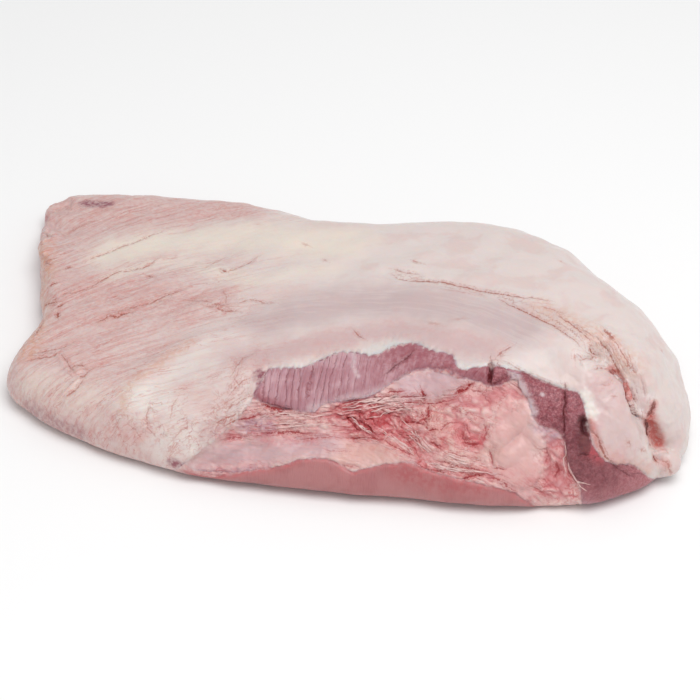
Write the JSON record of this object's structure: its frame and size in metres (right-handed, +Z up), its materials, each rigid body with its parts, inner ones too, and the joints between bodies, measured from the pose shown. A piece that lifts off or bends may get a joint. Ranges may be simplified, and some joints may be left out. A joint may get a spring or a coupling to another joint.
{
  "type": "raw beef brisket",
  "caption": "Whole raw beef brisket lying fat side up, thin flat end to thick point end, with its layers showing along the trimmed side.",
  "frame": {"origin": "middle of the flat underside", "axes": "+X along the length from the thin flat end to the thick point end, +Y away from the trimmed side, +Z up from the surface that it lies on"},
  "size_m": [0.5198, 0.3154, 0.0973],
  "materials": {
    "cap_fat": "raw fat, creamy white to pale pink, softly moist",
    "point_lean": "raw lean with visible fibre bundles, dull purple to dark red, moist",
    "torn_fat": "torn seam fat, white to pink with red streaks, wet",
    "flat_lean": "raw lean with fine upright grain, dusty pink, moist"
  },
  "bodies": {
    "root": {"fat_cap": "cap_fat", "point_muscle": "point_lean", "seam_fat": "torn_fat", "flat_muscle": "flat_lean"}
  },
  "joints": []
}
